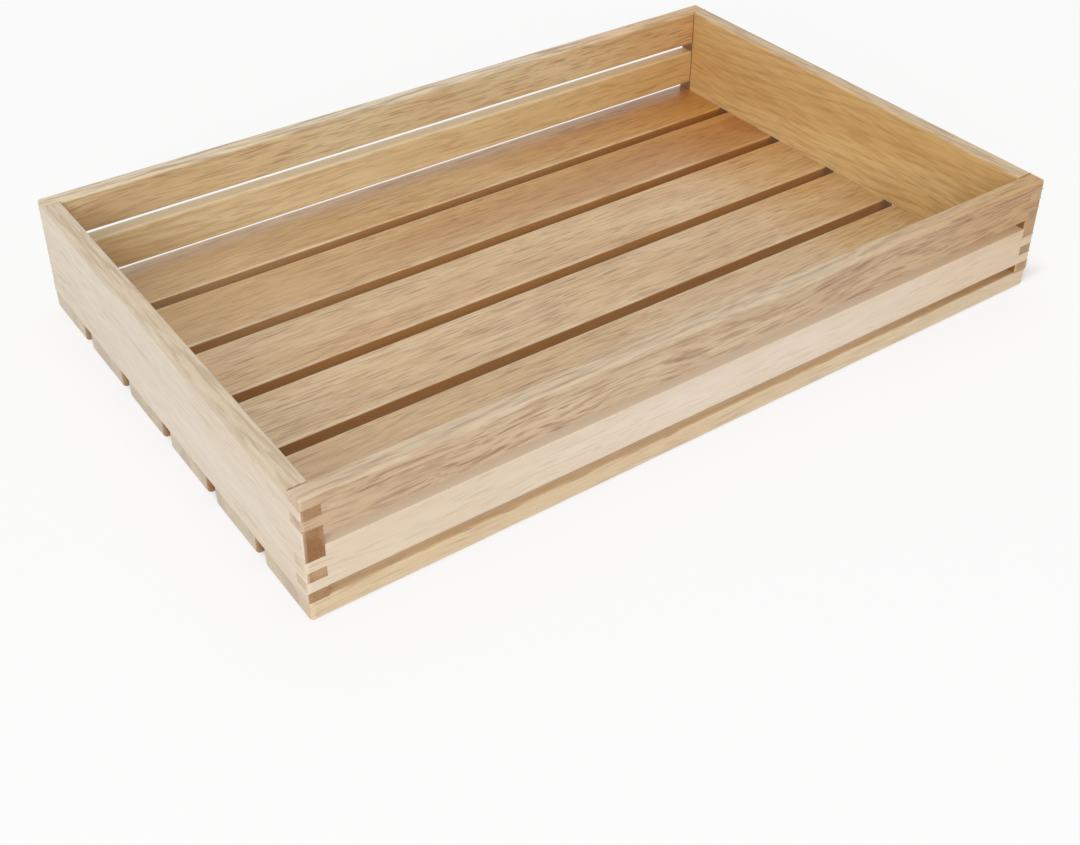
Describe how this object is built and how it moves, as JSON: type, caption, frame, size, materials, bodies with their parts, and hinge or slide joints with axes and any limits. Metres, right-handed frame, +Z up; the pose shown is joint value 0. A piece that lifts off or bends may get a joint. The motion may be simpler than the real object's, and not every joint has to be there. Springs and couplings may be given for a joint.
{
  "type": "wooden serving crate",
  "caption": "Shallow open wooden crate with solid ends, slatted long sides and a slatted floor, box-jointed at the corners, for carrying and serving food.",
  "frame": {"origin": "centre of the crate's footprint, on the surface that the floor slats stand on", "axes": "+X along the crate from the left end board to the right one, -Y towards the front long side, +Z up"},
  "size_m": [0.56, 0.36, 0.084],
  "materials": {
    "end_board_wood": "satin, pale straight-grained hardwood",
    "upper_slat_wood": "satin, tan hardwood with short dark pores",
    "middle_slat_wood": "satin, cream hardwood",
    "floor_slat_wood": "satin, honey-coloured hardwood with some darker heartwood",
    "nail_steel": "plain drawn steel, set below the surface"
  },
  "bodies": {
    "root": {"left_end_board": "end_board_wood", "right_end_board": "end_board_wood", "front_upper_slat": "upper_slat_wood", "back_upper_slat": "upper_slat_wood", "front_middle_slat": "middle_slat_wood", "back_middle_slat": "middle_slat_wood", "floor_slat_1": "floor_slat_wood", "floor_slat_2": "floor_slat_wood", "floor_slat_3": "floor_slat_wood", "floor_slat_4": "floor_slat_wood", "floor_slat_5": "floor_slat_wood", "floor_slat_6": "floor_slat_wood", "floor_nail_1_left_front": "nail_steel", "floor_nail_1_left_back": "nail_steel", "floor_nail_1_right_front": "nail_steel", "floor_nail_1_right_back": "nail_steel", "floor_nail_2_left_front": "nail_steel", "floor_nail_2_left_back": "nail_steel", "floor_nail_2_right_front": "nail_steel", "floor_nail_2_right_back": "nail_steel", "floor_nail_3_left_front": "nail_steel", "floor_nail_3_left_back": "nail_steel", "floor_nail_3_right_front": "nail_steel", "floor_nail_3_right_back": "nail_steel", "floor_nail_4_left_front": "nail_steel", "floor_nail_4_left_back": "nail_steel", "floor_nail_4_right_front": "nail_steel", "floor_nail_4_right_back": "nail_steel", "floor_nail_5_left_front": "nail_steel", "floor_nail_5_left_back": "nail_steel", "floor_nail_5_right_front": "nail_steel", "floor_nail_5_right_back": "nail_steel", "floor_nail_6_left_front": "nail_steel", "floor_nail_6_left_back": "nail_steel", "floor_nail_6_right_front": "nail_steel", "floor_nail_6_right_back": "nail_steel"}
  },
  "joints": []
}
